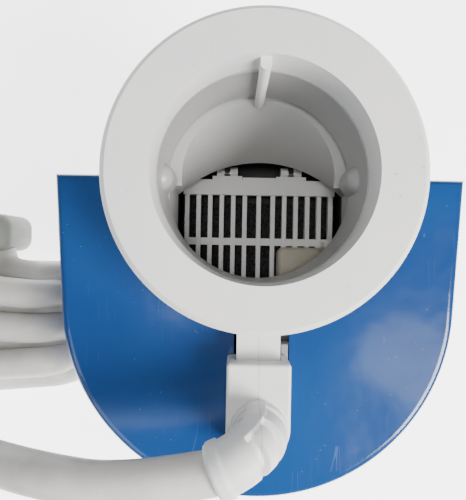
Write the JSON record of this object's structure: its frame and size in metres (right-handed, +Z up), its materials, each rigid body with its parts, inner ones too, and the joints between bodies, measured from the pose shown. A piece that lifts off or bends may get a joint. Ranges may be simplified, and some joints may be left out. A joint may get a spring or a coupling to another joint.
{
  "type": "drop-in electric water filter pump",
  "caption": "Compact box pump with a round top inlet collar, hinged strainer grate and float, glossy D-shaped housing, rear hose spigot, and a moulded plug with a looped power lead.",
  "frame": {"origin": "on the floor, under the axis of the inlet collar, at the middle rubber foot", "axes": "+Z up along the inlet's axis, +Y towards the flat back, +X to the right seen from above with the back at the top"},
  "size_m": [0.253, 0.1268, 0.0894],
  "materials": {
    "white_plastic": "satin white moulding",
    "blue_plastic": "glossy blue moulding",
    "black_plastic": "fine matt black",
    "grey_plastic": "matt grey",
    "cream_plastic": "smooth cream",
    "seal_rubber": "soft matt rubber",
    "foam": "open-cell foam",
    "steel": "fine brushed",
    "iron": "dull",
    "copper": "enamelled wire",
    "brass": "bright",
    "lead_sheath": "smooth flexible sheath",
    "plug_body": "matt grey-green"
  },
  "bodies": {
    "shell": {"collar_ring": "white_plastic", "inlet_tube": "white_plastic", "inlet_chamber": "white_plastic", "power_socket": "white_plastic", "blue_housing": "blue_plastic", "base_plate": "black_plastic", "housing_gasket": "seal_rubber", "base_screws": "steel", "rubber_feet": "seal_rubber", "sump_tray": "black_plastic", "foam_block": "foam", "grate_hinge_rod": "steel", "suction_duct": "black_plastic", "pump_volute": "black_plastic", "volute_cover": "black_plastic", "shaft_seal": "seal_rubber", "motor_can": "steel", "stator_core": "iron", "stator_coils": "copper", "rear_bearing": "brass", "front_bearing": "brass", "motor_cradle": "black_plastic", "outlet_pipe": "black_plastic", "hose_spigot": "black_plastic", "socket_pins": "brass", "latch_shelf": "grey_plastic", "latch_spring": "steel"},
    "grate": {"strainer_grate": "white_plastic", "float_pin": "steel"},
    "float": {"level_float": "cream_plastic"},
    "rotor": {"impeller": "cream_plastic", "motor_shaft": "steel", "rotor_magnet": "iron"},
    "latch": {"release_latch": "grey_plastic"},
    "lead": {"plug_cap": "white_plastic", "plug_contacts": "brass", "bend_relief": "white_plastic", "mains_lead": "lead_sheath", "lead_tail": "lead_sheath", "lead_hank": "lead_sheath", "mains_plug": "plug_body", "mains_pins": "brass"}
  },
  "joints": [
    {"name": "grate_hinge", "type": "hinge", "parent": "shell", "child": "grate", "pos_m": [0, 0.0096, 0.0182], "axis": [-1, 0, 0], "range_deg": [0, 12]},
    {"name": "float_hinge", "type": "hinge", "parent": "grate", "child": "float", "pos_m": [0.0265, -0.0234, 0.0234], "axis": [0, 1, 0], "range_deg": [0, 25]},
    {"name": "rotor_spin", "type": "hinge", "parent": "shell", "child": "rotor", "pos_m": [0, -0.06, 0.022], "axis": [0, 1, 0], "continuous": true},
    {"name": "latch_press", "type": "slide", "parent": "shell", "child": "latch", "axis": [0, 0, -1], "range_m": [0, 0.002], "stiffness_N_per_m": 300, "deforming": ["latch_spring"]},
    {"name": "plug_pull", "type": "slide", "parent": "shell", "child": "lead", "axis": [0, -1, 0], "range_m": [0, 0.012]}
  ]
}
